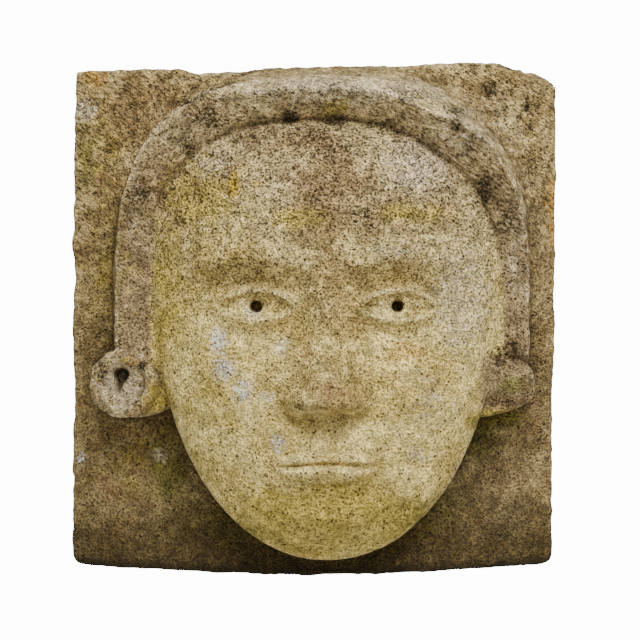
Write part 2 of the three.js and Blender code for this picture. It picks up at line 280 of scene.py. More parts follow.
def band_relief(from_inner, from_outer, top, crown, right_shoulder):
    """The roll: it rises from the inner edge to a crest and falls away to the outer edge."""
    thickness = np.maximum(from_inner - from_outer, 1e-3)
    across = np.clip(from_inner / thickness, 0, 1)
    crest_at = lerp(0.94, 0.62, crown)
    inner = np.maximum((crest_at - across) / crest_at, 0) ** 1.1 * (3.0 + 14 * top)
    outer = np.maximum((across - crest_at) / (1 - crest_at), 0) ** lerp(2.0, 1.1, right_shoulder)
    outer = outer * (1.5 + lerp(20, 13, right_shoulder) * crown)
    arris = 1.6 * right_shoulder * np.exp(-(((across - crest_at) * thickness / 1.5) ** 2))
    return lerp(CREST_LOW, CREST_TOP, top) - inner - outer + arris


def head_and_band(x, z):
    """The relief of the ground, the head and the band, and how much each point is head or band."""
    chipped = 0.7 * rough(x, 0, z, 13, 2.3) + 0.5 * rough(x, 0, z, 4.5, 7.1)
    from_head = outside(x, z, head_share(x, z))
    from_inner = outside(x, z, arch_share(x, z, **BAND_INNER)) + chipped
    right_shoulder = ease(10, 50, x - HEAD_X) * ease(40, 80, z)
    broken = right_shoulder * (1.3 * rough(x, 0, z, 9, 5.9) + 1.0 * rough(x, 0, z, 3.2, 3.3))
    from_outer = outside(x, z, arch_share(x, z, **BAND_OUTER)) + 0.8 * chipped + broken
    top = aloft(z)
    crown = top * ease(80, 35, HEAD_X - x) * ease(104, 56, x - HEAD_X)
    above = ease(BAND_END_Z - 6, BAND_END_Z + 3, z)

    # The ground climbs to the band, and the head is rounded into it under the band's inner edge.
    ground = ground_relief(x, z) + 9 * ease(24, 1, from_outer) * ease(-30, 30, z)
    on_head = ease(WALL, -1, from_head - UNDER_BAND * above)
    filleted = merged(face(x, z), lerp(CREST_LOW - 3, CREST_TOP - 17, top), FILLET)
    relief = lerp(ground, lerp(face(x, z), filleted, above), on_head)

    # The outer wall leans back over the crown and on the right shoulder, where it is broken rough.
    wall = WALL + 6 * crown + 7 * right_shoulder
    on_band = np.clip((wall - from_outer) / (wall + 0.6), 0, 1) ** 1.4
    band = lerp(ground, band_relief(from_inner, from_outer, top, crown, right_shoulder), on_band)
    on_bevel = right_shoulder * ease(-1, 2, from_outer) * ease(wall + 8, wall, from_outer)
    band += on_bevel * (1.4 * rough(x, 0, z, 5.5, 8.2) + 0.9 * rough(x, 0, z, 2.6, 0.4))
    # A second fine line, with a nick behind the first, runs along the left shoulder.
    left_shoulder = ease(-35, -60, x - HEAD_X) * ease(96, 116, z)
    band += 3.2 * left_shoulder * np.exp(-(((from_outer - 5.5) / 1.3) ** 2))
    band -= 1.6 * left_shoulder * np.exp(-(((from_outer - 2.6) / 1.3) ** 2))
    over = ease(-1.5, 1.8, from_inner) * above
    groove = (0.7 + 2.1 * top) * (1 + 0.6 * chipped) * np.exp(-((from_inner / 1.9) ** 2)) * above
    return lerp(relief, band, over) - groove, on_head * (1 - over), on_band * over


# ---------------------------------------------------------------------------------------------
# The ear bosses: the band's left end is a ring round a drilled hole, joined to the cheek by a web
# of stone, and its right end is a plain lobe with a shallow hollow worn into its foot.
# ---------------------------------------------------------------------------------------------
RING_X, RING_Z, RING_RADIUS, RING_RELIEF = -116.0, -40.5, 20.8, 46.0
HOLE_X, HOLE_Z, HOLE_RADIUS, HOLE_TAIL, HOLE_DEPTH = -117.3, -35.0, 5.2, 12.0, 13.0
WEB_RELIEF = 39.0
LOBE_X, LOBE_Z, LOBE_HALF_X, LOBE_HALF_Z, LOBE_RELIEF = 113.0, -42.0, 21.5, 19.5, 41.0


def with_bosses(x, z, relief):
    """The relief with both bosses added, and how much each point is lobe."""
    chipped = 0.6 * rough(x, 0, z, 7, 4.4) + 0.4 * rough(x, 0, z, 3.4, 8.6)
    foot = -60.5 + 0.16 * (x + 104) + 3.0 * ease(-100, -86, x)
    web = WEB_RELIEF * ease(foot - 2.4, foot + 1.0, z) * ease(-12, -26, z)
    web = web * ease(-116, -106, x) * ease(-74, -84, x)
    relief = np.where(x < -70, merged(relief, web, 3.0), relief)

    from_ring = np.hypot(x - RING_X, z - RING_Z) + chipped
    dished = 3.4 * ease(14.5, 12.8, from_ring) * (0.6 + 0.4 * ease(-8, 8, x - RING_X))
    crust = 0.8 * rough(x, 0, z, 5, 1.7) + 0.6 * rough(x, 0, z, 2.4, 6.6)
    ring = RING_RELIEF - 2.0 * ease(17.5, 21, from_ring) - dished + crust
    relief = lerp(relief, ring, ease(RING_RADIUS + 1.6, RING_RADIUS - 0.4, from_ring))
    down = np.clip((HOLE_Z - z) / HOLE_TAIL, 0, 1)
    round_hole = np.hypot(x - HOLE_X, z - HOLE_Z) - HOLE_RADIUS
    tail = np.abs(x - HOLE_X + 1.8 * down) - HOLE_RADIUS * (1 - down) ** 0.9
    tear = np.maximum(tail, HOLE_Z - HOLE_TAIL - z)
    from_hole = np.where(z > HOLE_Z, round_hole, tear) + 0.4 * chipped
    pick_mark = 3 * swelling(x, z, RING_X + 16, RING_Z + 13, 2.2, 2.6)
    relief = relief - HOLE_DEPTH * ease(1.0, -2.6, from_hole) - pick_mark

    narrowing = np.clip(x - LOBE_X + 10, 0, 40) * np.where(z < LOBE_Z, 0.26, 0.10)
    share = oval_share(x - LOBE_X, z - LOBE_Z, LOBE_HALF_X, LOBE_HALF_Z - narrowing, 2.8)
    from_lobe = np.hypot(x - LOBE_X, z - LOBE_Z) * (1 - 1 / np.maximum(share, 0.05)) + 0.7 * chipped
    hollow = 4.5 * swelling(x, z, LOBE_X + 1, LOBE_Z - 9, 13, 6)
    lobe = LOBE_RELIEF - 3.5 * np.clip(share, 0, 1.2) ** 6 - hollow
    on_lobe = lerp(relief, lobe, ease(2.2, -0.8, from_lobe))
    notch = 2.5 * swelling(x, z, LOBE_X + 8, LOBE_Z + 17.5, 5, 1.8)
    joined = np.where(from_lobe < 3, merged(relief, on_lobe, 6 * ease(3, -6, from_lobe)), relief)
    relief = np.where(x < 104, joined, lerp(joined, on_lobe, ease(104, 112, x))) - notch
    return relief, ease(3, -3, from_lobe) * ease(96, 108, x)


def carving(x, z):
    """The whole relief, with a dimple on the forehead and a notch in the band's crest."""
    relief, on_head, on_band = head_and_band(x, z)
    dimple = 1.6 * swelling(x, z, 53, 93, 6.5, 4.5)
    notch = 2.4 * swelling(x, z, 4, 136, 3.0, 6.0)
    relief = relief - dimple - notch
    relief, on_lobe = with_bosses(x, z, relief)
    return relief, on_head * (1 - on_lobe), np.maximum(on_band, on_lobe)


# ---------------------------------------------------------------------------------------------
# The surface of the front: a net of fine, even meshes laid over the carving. The relief is worked
# out once on a close grid, and the net is drawn tight over it level by level, coarse to fine, so
# that steep walls get as many meshes as flat ground.
# ---------------------------------------------------------------------------------------------
GRID = 0.3
grid_x = np.arange(-HALF_WIDTH - 5, HALF_WIDTH + 5.01, GRID)
grid_z = np.arange(BOTTOM - SAG - 3, TOP + TOP_RISE + 3.01, GRID)
mesh_x, mesh_z = np.meshgrid(grid_x, grid_z, indexing="ij")
relief_map, head_map, band_map = carving(mesh_x, mesh_z)


def look_up(field, x, z):
    """A field of the close grid at any point, from its four neighbours."""
    i = np.clip((x - grid_x[0]) / GRID, 0, len(grid_x) - 1.001)
    j = np.clip((z - grid_z[0]) / GRID, 0, len(grid_z) - 1.001)
    a, b = i.astype(int), j.astype(int)
    s, t = i - a, j - b
    low = field[a, b] * (1 - s) + field[a + 1, b] * s
    high = field[a, b + 1] * (1 - s) + field[a + 1, b + 1] * s
    return low * (1 - t) + high * t


def tighten(x, z, rounds):
    """Draws each inner point of the net towards its neighbours, harder along the longer meshes."""
    for _ in range(rounds):
        y = look_up(relief_map, x, z)
        pull_x = np.hypot(np.hypot(np.diff(x, axis=0), np.diff(z, axis=0)), np.diff(y, axis=0))
        pull_x = (pull_x / np.hypot(np.diff(x, axis=0), np.diff(z, axis=0)))[:, 1:-1]
        pull_z = np.hypot(np.hypot(np.diff(x, axis=1), np.diff(z, axis=1)), np.diff(y, axis=1))
        pull_z = (pull_z / np.hypot(np.diff(x, axis=1), np.diff(z, axis=1)))[1:-1]
        total = pull_x[1:] + pull_x[:-1] + pull_z[:, 1:] + pull_z[:, :-1]
        for p in (x, z):
            drawn = pull_x[1:] * p[2:, 1:-1] + pull_x[:-1] * p[:-2, 1:-1]
            drawn += pull_z[:, 1:] * p[1:-1, 2:] + pull_z[:, :-1] * p[1:-1, :-2]
            p[1:-1, 1:-1] = lerp(p[1:-1, 1:-1], drawn / total, 0.35)
    return x, z


def finer(p):
    """Twice as many meshes each way, with the new points halfway between the old."""
    across = np.empty((2 * p.shape[0] - 1, p.shape[1]))
    across[::2], across[1::2] = p, (p[1:] + p[:-1]) / 2
    both = np.empty((across.shape[0], 2 * p.shape[1] - 1))
    both[:, ::2], both[:, 1::2] = across, (across[:, 1:] + across[:, :-1]) / 2
    return both


COARSE = 36    # meshes each way at the coarsest level
LEVELS = 3
even_shares = np.linspace(0, 1, COARSE + 1)
share_x, share_z = np.meshgrid(even_shares, even_shares, indexing="ij")
net_x = lerp(-HALF_WIDTH, HALF_WIDTH, share_x)
net_z = lerp(bottom_at(net_x), top_at(net_x), share_z)
net_x = lerp(left_at(net_z), right_at(net_z), share_x)
for level in range(LEVELS + 1):
    if level:
        net_x, net_z = finer(net_x), finer(net_z)
    net_x, net_z = tighten(net_x, net_z, (600, 500, 400, 250)[level])


# ---------------------------------------------------------------------------------------------
# The whole stone as one closed skin: the net over the front, close rows just behind the front
# arris, wider rows along the beds and flanks, and the flat sawn back.
# ---------------------------------------------------------------------------------------------
TOP_CORNER, BOTTOM_CORNER = 3.5, 6.5     # the radii that the four long arrises are worn to
FINE_ROWS, FINE_STEP = 4, 1.4
WIDE_ROWS = 24
count = net_x.shape[0]
index = np.arange(count * count).reshape(count, count)
rim = np.concatenate([index[:-1, 0], index[-1, :-1], index[:0:-1, -1], index[0, :0:-1]])

net_y = -GROUND - look_up(relief_map, net_x, net_z)
points = np.stack([net_x.ravel(), net_y.ravel(), net_z.ravel()], axis=1)
net_quads = np.stack([index[:-1, :-1], index[1:, :-1], index[1:, 1:], index[:-1, 1:]], axis=-1)
quads = [net_quads.reshape(-1, 4)]
triangles = []
rows = [rim]
skin = [points]
front_y = points[rim, 1]


def add_row(source, y):
    """A new row of points behind the ones given, on the same outline."""
    row = points[source].copy()
    row[:, 1] = y
    skin.append(row)
    start = sum(len(part) for part in skin[:-1])
    return np.arange(start, start + len(row))


for step in range(1, FINE_ROWS + 1):
    rows.append(add_row(rim, front_y + step * FINE_STEP))
    near, far = rows[-2], rows[-1]
    quads.append(np.stack([near, far, np.roll(far, -1), np.roll(near, -1)], axis=1))

# Every third point of the last close row carries on as a point of the first wide row.
wide = add_row(rim[::3], front_y[::3] + (FINE_ROWS + 1.6) * FINE_STEP)
near = rows[-1].reshape(-1, 3)
after = np.roll(near[:, 0], -1)
wide_after = np.roll(wide, -1)
triangles += [
    np.stack([near[:, 0], wide, near[:, 1]], axis=1),
    np.stack([near[:, 1], wide, near[:, 2]], axis=1),
    np.stack([near[:, 2], wide, wide_after], axis=1),
    np.stack([near[:, 2], wide_after, after], axis=1),
]
first_y = skin[-1][:, 1]
for step in range(1, WIDE_ROWS + 1):
    behind = add_row(rim[::3], first_y * (1 - step / WIDE_ROWS))
    quads.append(np.stack([wide, behind, np.roll(behind, -1), np.roll(wide, -1)], axis=1))
    wide = behind
back_face = wide[::-1]

points = np.concatenate(skin)
quads = np.concatenate(quads)
triangles = np.concatenate(triangles)
on_front = np.arange(len(points)) < count * count
edges = np.concatenate([quads[:, [0, 1]], quads[:, [1, 2]], quads[:, [2, 3]], quads[:, [3, 0]],
                        triangles[:, [0, 1]], triangles[:, [1, 2]], triangles[:, [2, 0]]])
edges = np.unique(np.sort(edges, axis=1), axis=0)
valence = np.bincount(edges.ravel(), minlength=len(points))


def neighbour_mean(values):
    """The mean of each point's neighbours along the meshes."""
    total = np.zeros_like(values)
    for axis in range(values.shape[1]):
        total[:, axis] = np.bincount(edges[:, 0], values[edges[:, 1], axis], len(points))
        total[:, axis] += np.bincount(edges[:, 1], values[edges[:, 0], axis], len(points))
    return total / valence[:, None]


def normals():
    """Outward normals at the points, from the faces round each."""
    total = np.zeros_like(points)
    for corners in (quads[:, [0, 1, 2]], quads[:, [0, 2, 3]], triangles):
        a, b, c = (points[corners[:, k]] for k in range(3))
        face_normal = np.cross(b - a, c - a)
        for k in range(3):
            for axis in range(3):
                total[:, axis] += np.bincount(corners[:, k], face_normal[:, axis], len(points))
    return total / np.maximum(np.linalg.norm(total, axis=1), 1e-9)[:, None]


# ---------------------------------------------------------------------------------------------
# Wear: the arrises are rubbed round and chipped, the upper right corner is broken off, and the
# whole surface has weathered into low swells, small lumps and pits.
# ---------------------------------------------------------------------------------------------
# The outline's corners are rounded, each by drawing its edges in towards the middle of the arc.
edge_x = np.minimum(points[:, 0] - left_at(points[:, 2]), right_at(points[:, 2]) - points[:, 0])
edge_z = np.minimum(top_at(points[:, 0]) - points[:, 2], points[:, 2] - bottom_at(points[:, 0]))
corner = np.where(points[:, 2] > 0, TOP_CORNER, BOTTOM_CORNER)
near_corner = np.maximum(corner - edge_x, 0), np.maximum(corner - edge_z, 0)
reach = np.hypot(*near_corner)
share = np.where(reach > 0, np.maximum(near_corner[0], near_corner[1]) / np.maximum(reach, 1e-6), 1)
points[:, 0] -= np.sign(points[:, 0]) * near_corner[0] * (1 - share)
points[:, 2] -= np.sign(points[:, 2]) * near_corner[1] * (1 - share)

# Rubbing: a little everywhere on the front, and more along the front arris.
behind_arris = np.zeros(len(points))
behind_arris[~on_front] = 99.0
for step, row in enumerate(rows):
    behind_arris[row] = step * FINE_STEP
inward = np.minimum(edge_x, edge_z)
arris = np.where(on_front, ease(6, 0, inward), ease(6, 0, behind_arris))
for _ in range(9):
    points = lerp(points, neighbour_mean(points), (0.55 * arris)[:, None])
front_weight = np.where(on_front, 0.4, 0.0)[:, None]
for _ in range(2):
    points = lerp(points, neighbour_mean(points), front_weight)

# The broken corner: what stood above this plane is gone.
BREAK_AT = np.array([118.0, -GROUND, 159.0])
break_normal = np.array([0.42, -0.25, 1.0])
break_normal /= np.linalg.norm(break_normal)
ragged = 1.3 * rough(*points.T, 8, 3.1) + 0.5 * rough(*points.T, 3.2, 1.9)
over = np.maximum((points - BREAK_AT) @ break_normal + ragged, 0)
points -= over[:, None] * break_normal

# Weathering, lifted along the normals. The back stays as it was sawn.
on_head = np.where(on_front, look_up(head_map, points[:, 0], points[:, 2]), 0)
on_band = np.where(on_front, look_up(band_map, points[:, 0], points[:, 2]), 0)
calm = on_head * ease(80, -20, points[:, 2])
coarse = (1 - 0.6 * calm) * (1 - 0.6 * arris)
lift = 0.8 * rough(*points.T, 46) + coarse * 0.6 * rough(*points.T, 17, 5.2)
lift += coarse * (0.55 * rough(*points.T, 7.5, 9.7) + 0.42 * rough(*points.T, 3.4, 1.3))
foot = ease(-135, -148, points[:, 2])
chipping = 0.35 * rough(*points.T, 11, 6.3) + 0.45 * rough(*points.T, 4.2, 0.7)
lift += arris * (1 - 0.75 * foot) * chipping

# Small bites out of the front arris, and a lump left standing on the left one.
front_rim = points[rim]
BITES = 60
for chosen in random.integers(0, len(rim), BITES):
    size, depth = random.uniform(2.0, 4.5), random.uniform(0.3, 1.1)
    distance = np.linalg.norm(points - front_rim[chosen], axis=1)
    lift -= depth * (1 - 0.7 * foot) * np.exp(-((distance / size) ** 2))
lump = np.linalg.norm(points - np.array([-150, -GROUND - 12, 45]), axis=1)
lift += 1.5 * np.exp(-((lump / 7) ** 2))
lift *= ease(0, -12, points[:, 1])
points += lift[:, None] * normals()

stone_mesh = bpy.data.meshes.new("carved_stone")
faces = quads.tolist() + triangles.tolist() + [back_face.tolist()]
stone_mesh.from_pydata((points * MM).tolist(), [], faces)
stone_mesh.validate()
stone_mesh.shade_smooth()
stone = bpy.data.objects.new("carved_stone", stone_mesh)
bpy.context.scene.collection.objects.link(stone)
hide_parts("corbel")
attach(stone, "root")


# ---------------------------------------------------------------------------------------------
# Weathered oolitic limestone: a pale buff stone of fish-roe grain, open with small pits. The soil of
# the years lies brown on the ground, and soil with painted shade darkens the hollows and creases. The
# standing edges are worn pale, with a painted highlight along them, and the foot, the bottom arris and
# the pits are painted dark as painted shade. Algae and lichens have grown on it in patches, and a few
# dark patches in the groove over the forehead are painted shade. Where each lies is held on the points
# of the mesh.
# ---------------------------------------------------------------------------------------------
limestone = bpy.data.materials.new("weathered_limestone")
limestone.use_nodes = True
stone_tree = limestone.node_tree
stone_tree.nodes.clear()


def linear(hex_colour):
    """An sRGB hex colour as linear red, green, blue and alpha."""
    channels = [int(hex_colour[i:i + 2], 16) / 255 for i in (1, 3, 5)]
    return [c / 12.92 if c <= 0.04045 else ((c + 0.055) / 1.055) ** 2.4 for c in channels] + [1.0]


def add_node(tree, kind, inputs, output=0, **settings):
    """Adds one node: each input is a value or the socket to link. Gives back one output socket."""
    node = tree.nodes.new(kind)
    for name, value in settings.items():
        setattr(node, name, value)
    for key, value in inputs.items():
        if isinstance(value, bpy.types.NodeSocket):
            tree.links.new(value, node.inputs[key])
        else:
            node.inputs[key].default_value = value
    return node.outputs[output] if node.outputs else None


def blurred(field, radius):
    """A field of the close grid, averaged over a square of this half width in millimetres."""
    steps = int(radius / GRID)
    for _ in range(2):
        padded = np.pad(field, [(steps + 1, steps), (0, 0)], mode="edge")
        sums = np.cumsum(padded, axis=0)
        field = ((sums[2 * steps + 1:] - sums[:len(field)]) / (2 * steps + 1)).T
    return field


# How far each point lies below or above the stone round it, in millimetres.
point_x, point_y, point_z = points.T
close_hollow = look_up(blurred(relief_map, 3) - relief_map, point_x, point_z)
wide_hollow = look_up(blurred(relief_map, 12) - relief_map, point_x, point_z)
standing_out = look_up(relief_map - blurred(relief_map, 1.8), point_x, point_z)

# Each coat of the stone: where it lies, from 0 to 1, and how strongly it covers there.
behind_front = ease(-60, -100, point_y)
COATS = {
    "cheeks": (calm, 1.0),
    "band": (on_band * lerp(0.8, 0.1, aloft(point_z)), 0.85),
    "sunk": (np.where(on_front, 1 - on_head - on_band, lerp(0.6, 1.0, behind_front)), 0.9),
    # Pale on standing edges and ridges: worn pale, with a painted highlight along them.
    "worn_and_highlit_edges": (on_front * standing_out / 1.5 + 0.1 * arris, 1.0),
    # Soil lodged in the hollows and creases, together with painted shade there.
    "soil_and_shade_in_hollows": (on_front * (close_hollow / 5.0 + wide_hollow / 40.0), 0.78),
    # Darker towards the bottom of the ground, off the head: painted shade under the chin and along the
    # foot.
    "painted_foot_shade": (ease(-98, -146, point_z) * (1 - on_head) * lerp(0.4, 1.0, ease(-40, -100, point_y)), 0.86),
    # The last few millimetres above the underside: painted shade along the bottom arris.
    "painted_bottom_edge_shade": (ease(8, 1, point_z - bottom_at(point_x)), 0.85),
    "streaked": (ease(-20, 60, point_z) * (1 - on_head), 0.6),
    "worn": (ease(100, -60, point_z), 0.42),
}

# Each growth or stain: its colour, the size in millimetres at which its edge breaks up, how far that
# tears it, how strongly it covers, and its patches as x, z, half width, half height and strength.
GROWTHS = {
    "yellow_algae": ("#a18c36", 9.0, 1.6, 0.7, [
        (7, -122, 76, 30, 1.0), (-62, -62, 30, 46, 0.5), (-9, 59, 24, 8, 0.8), (61, 62, 28, 8, 0.8),
        (-50, 40, 40, 16, 0.5), (60, -70, 34, 30, 0.35), (-95, -50, 12, 14, 0.8), (12, 128, 10, 7, 0.9),
        (-125, 30, 22, 60, 0.45), (-66, 72, 36, 30, 0.7), (-88, 20, 13, 60, 0.75),
        (110, -61, 24, 6, 1.0), (-70, 8, 26, 40, 0.4), (-130, 104, 16, 40, 0.45),
        (-112, -88, 30, 30, 0.35)]),
    "green_algae": ("#5f5c22", 12.0, 1.6, 0.7, [
        (-92, -88, 14, 30, 0.9), (112, -64, 20, 8, 0.9), (70, -118, 40, 16, 0.6),
        (-60, -128, 50, 14, 0.6), (-22, -72, 8, 6, 0.35), (-140, 100, 10, 40, 0.5),
        (104, -78, 12, 16, 0.8), (120, -40, 13, 9, 0.7)]),
    "grey_soil": ("#5f5238", 9.0, 1.8, 0.6, [
        (53, 93, 7, 5, 1.0), (60, 60, 9, 6, 0.5), (110, -112, 40, 40, 0.75), (140, -60, 14, 50, 0.6),
        (138, 60, 14, 40, 0.5), (-104, 40, 12, 50, 0.3), (-70, 118, 20, 12, 0.3)]),
    "brown_soil": ("#6e5431", 7.0, 2.0, 0.6, [
        (-108, 128, 36, 28, 0.85), (-118, 70, 14, 30, 0.6), (14, 72, 38, 32, 0.75),
        (12, 12, 26, 40, 0.7), (10, -40, 34, 26, 0.7), (-60, 84, 34, 20, 0.5), (60, 38, 34, 9, 0.5),
        (-38, 38, 34, 9, 0.5), (-120, 20, 14, 50, 0.3), (136, -30, 14, 60, 0.5), (-3, 104, 30, 10, 0.7),
        (30, -105, 40, 20, 0.3), (116, -52, 14, 6, 1.0), (-108, -55, 9, 6, 0.8), (-126, -50, 7, 6, 0.6),
        (-144, 44, 13, 6, 1.0), (126, 150, 12, 10, 0.6), (120, -24, 11, 16, 0.6),
        (128, 40, 7, 44, 0.5)]),
    "red_soil": ("#80503c", 5.0, 2.0, 0.5, [
        (-129, -108, 8, 11, 0.7), (-112, -70, 30, 14, 0.3), (9, -44, 12, 9, 0.6), (-5, -21, 7, 6, 0.7),
        (-128, 86, 14, 10, 0.4), (120, -100, 18, 16, 0.35), (-12, 86, 14, 12, 0.4)]),
    "ochre_lichen": ("#ab7f30", 3.5, 2.2, 0.65, [
        (54, -21, 17, 8, 0.75), (148, 66, 5, 32, 0.55), (-138, 149, 10, 7, 0.7), (8, -55, 8, 5, 0.4)]),
    "mustard_lichen": ("#b08f1e", 2.4, 2.4, 0.8, [
        (-48, 78, 4, 9, 0.8), (-34, 79, 4, 4, 0.5), (-112, -27, 6, 4, 0.7)]),
    "grey_lichen": ("#b8a988", 3.6, 2.2, 0.75, [
        (61, 92, 26, 20, 0.75), (88, 10, 24, 40, 0.7), (70, -50, 18, 24, 0.4), (-60, 92, 18, 12, 0.5),
        (-117, -42, 17, 19, 0.8), (122, 40, 10, 50, 0.4), (-142, 128, 9, 9, 0.8), (-97, -87, 9, 6, 0.6),
        (48, 40, 22, 6, 0.5), (112, 120, 24, 26, 0.4), (20, 136, 80, 11, 0.7), (-40, 132, 30, 8, 0.5),
        (88, 112, 30, 22, 0.5), (-76, 108, 34, 24, 0.3), (-108, 66, 6, 30, 0.4),
        (62, -82, 10, 6, 0.6)]),
    "white_lichen": ("#d3cbc2", 2.0, 3.0, 0.85, [
        (-57, -14, 6, 9, 0.75), (-53, -30, 8, 8, 0.7), (-42, -43, 7, 9, 0.65), (-21, -74, 5, 6, 0.65),
        (-36, 3, 6, 5, 0.5), (-19, -17, 6, 6, 0.5), (-147, -88, 4, 4, 0.6), (-28, -47, 5, 4, 0.5)]),
    # Black lichen, and painted shade: the dark patches in the groove over the middle of the forehead,
    # near z 118, stand for shade in the undercut.
    "black_lichen_and_groove_shade": ("#2c2415", 1.9, 3.2, 0.92, [
        (-63, 119, 11, 8, 0.65), (-15, 121, 6, 5, 0.8), (12, 118, 8, 4, 0.8), (38, 116, 12, 4, 0.7),
        (102, 77, 6, 12, 0.8), (109, 143, 6, 7, 0.7), (133, 131, 6, 7, 0.7), (121, 158, 9, 4, 0.8),
        (84, 124, 9, 4, 0.8), (96, 106, 5, 7, 0.4), (116, 60, 7, 12, 0.5), (60, 134, 22, 5, 0.5),
        (-76, 132, 22, 5, 0.5), (-126, 96, 10, 10, 0.4), (136, 96, 8, 16, 0.45), (85, 116, 5, 5, 0.7),
        (-5, 108, 26, 8, 0.5), (-80, 60, 6, 7, 0.45), (-76, 102, 5, 5, 0.65), (-104, 76, 7, 8, 0.6),
        (78, 76, 8, 6, 0.4), (30, 60, 12, 9, 0.5), (6, 100, 20, 8, 0.45), (-30, 106, 16, 6, 0.45),
        (-10, -50, 9, 5, 0.4), (-134, 50, 8, 5, 0.4), (118, -20, 11, 8, 0.65), (113, -27, 5, 4, 0.9),
        (-104, -29, 3, 4, 0.9), (-129, -33, 5, 9, 0.6), (114, -52, 11, 4, 0.6),
        (-106, -52, 5, 4, 0.4)]),
}
for name, (tint, size, tearing, cover, patches) in GROWTHS.items():
    field = np.zeros(len(points))
    for x, z, half_x, half_z, strength in patches:
        away = np.hypot((point_x - x) / half_x, (point_z - z) / half_z)
        field = np.maximum(field, strength * ease(1.5, 0.2, away))
    COATS[name] = (field * ease(-55, -100, point_y), 1.0)

held = {}
for name, (values, cover) in COATS.items():
    layer = stone_mesh.attributes.new(name, "FLOAT", "POINT")
    layer.data.foreach_set("value", (cover * np.clip(values, 0, 1)).astype(np.float32))
    held[name] = add_node(stone_tree, "ShaderNodeAttribute", {}, "Fac", attribute_name=name)

# Each noise: the size of its lumps in millimetres, its detail, its roughness and its offset. The
# grain is drawn at 0.8 and 1.4 mm, the size of oolites, which are 0.5 to 1 mm, and of their clusters.
NOISES = {
    "beds": (30, 4, 0.6, 0.0),
    "soils": (16, 4, 0.6, 0.3),
    "wear_and_highlight_breakup": (2.5, 2, 0.6, 0.2),
    "oolites": (1.4, 1, 0.5, 0.0),
    "sand": (0.8, 1, 0.5, 0.9),
    "patches": (5.0, 3, 0.6, 0.7),
    "blotches": (13.0, 3, 0.65, 2.1),
    "pit_sizes": (3.4, 2, 0.6, 1.1),
}
for rank, (name, growth) in enumerate(GROWTHS.items()):
    NOISES[name] = (growth[1], 4, 0.7, 0.17 * (rank + 1))

place = add_node(stone_tree, "ShaderNodeTexCoord", {}, "Object")
noise = {}
for name, (size, detail, roughness, offset) in NOISES.items():
    moved = add_node(stone_tree, "ShaderNodeVectorMath", {0: place, 1: (offset, offset, offset)})
    noise[name] = add_node(stone_tree, "ShaderNodeTexNoise", {
        "Vector": moved, "Scale": 1 / (size * MM), "Detail": detail, "Roughness": roughness})

# Each of these turns a noise from its first range to its second, smoothly, and holds it at its ends.
SPREADS = {
    "beds": (0.35, 0.65, 0.0, 1.0),
    "soils": (0.35, 0.65, 0.0, 1.0),
    "wear_and_highlight_breakup": (0.4, 0.6, 0.0, 0.7),
    "patches": (0.3, 0.7, 0.62, 1.42),
    "blotches": (0.36, 0.64, 0.74, 1.22),
    "pit_sizes": (0.40, 0.64, 0.02, 0.37),
}
spread = {}
for name, (low, high, to_low, to_high) in SPREADS.items():
    spread[name] = add_node(stone_tree, "ShaderNodeMapRange", {
        "Value": noise[name], "From Min": low, "From Max": high, "To Min": to_low, "To Max": to_high,
    }, interpolation_type="SMOOTHSTEP")

# The grain is even on the head and drawn out along the slope of the old tooling elsewhere.
TOOLING_SLOPE = math.radians(35)
TOOLING_STRETCH = 2.4
along = add_node(stone_tree, "ShaderNodeMapping", {
    "Vector": place, "Rotation": (0, TOOLING_SLOPE, 0), "Scale": (TOOLING_STRETCH, 1.0, 1.0),
}, vector_type="TEXTURE")
streaks = add_node(stone_tree, "ShaderNodeTexNoise", {
    "Vector": along, "Scale": 1 / (1.4 * MM), "Detail": 1.0, "Roughness": 0.5})
oolites = add_node(stone_tree, "ShaderNodeMix", {0: held["streaked"], 2: noise["oolites"], 3: streaks})
grain = add_node(stone_tree, "ShaderNodeMix", {0: 0.35, 2: oolites, 3: noise["sand"]})
speckle = add_node(stone_tree, "ShaderNodeMapRange", {
    "Value": grain, "From Min": 0.39, "From Max": 0.60, "To Min": 0.25, "To Max": 1.98})
patchy = add_node(stone_tree, "ShaderNodeMath", {0: spread["patches"], 1: spread["blotches"]},
                  operation="MULTIPLY")
shade = add_node(stone_tree, "ShaderNodeMath", {0: speckle, 1: patchy}, operation="MULTIPLY")
calmed = add_node(stone_tree, "ShaderNodeMath", {0: 1.0, 1: held["worn"]}, operation="SUBTRACT")

# The pits: round cells, each as large as the noise of sizes lets it be. They are bumped in and also
# painted dark, as painted shade.
PIT_SPACING = 2.4
PIT_DEPTH = 0.8
cells = add_node(stone_tree, "ShaderNodeTexVoronoi", {"Vector": place, "Scale": 1 / (PIT_SPACING * MM)})
within = add_node(stone_tree, "ShaderNodeMath", {0: spread["pit_sizes"], 1: cells},
                  operation="SUBTRACT")
pit = add_node(stone_tree, "ShaderNodeMapRange", {
    "Value": within, "From Min": -0.05, "From Max": 0.12, "To Max": PIT_DEPTH,
}, interpolation_type="SMOOTHSTEP")

# Each growth is broken up at its own size, and ends where its patches end.
growing = {}
for name, (tint, size, tearing, cover, patches) in GROWTHS.items():
    torn = add_node(stone_tree, "ShaderNodeMath", {0: noise[name], 1: tearing, 2: held[name]},
                    operation="MULTIPLY_ADD")
    most = add_node(stone_tree, "ShaderNodeMapRange", {
        "Value": held[name], "From Max": 0.2, "To Max": cover}, interpolation_type="SMOOTHSTEP")
    growing[name] = add_node(stone_tree, "ShaderNodeMapRange", {
        "Value": torn, "From Min": 0.2 + tearing / 2, "From Max": 0.85 + tearing / 2, "To Max": most,
    }, interpolation_type="SMOOTHSTEP")
worn_and_highlit_edges = add_node(stone_tree, "ShaderNodeMath", {0: held["worn_and_highlit_edges"], 1: spread["wear_and_highlight_breakup"]},
                  operation="MULTIPLY")
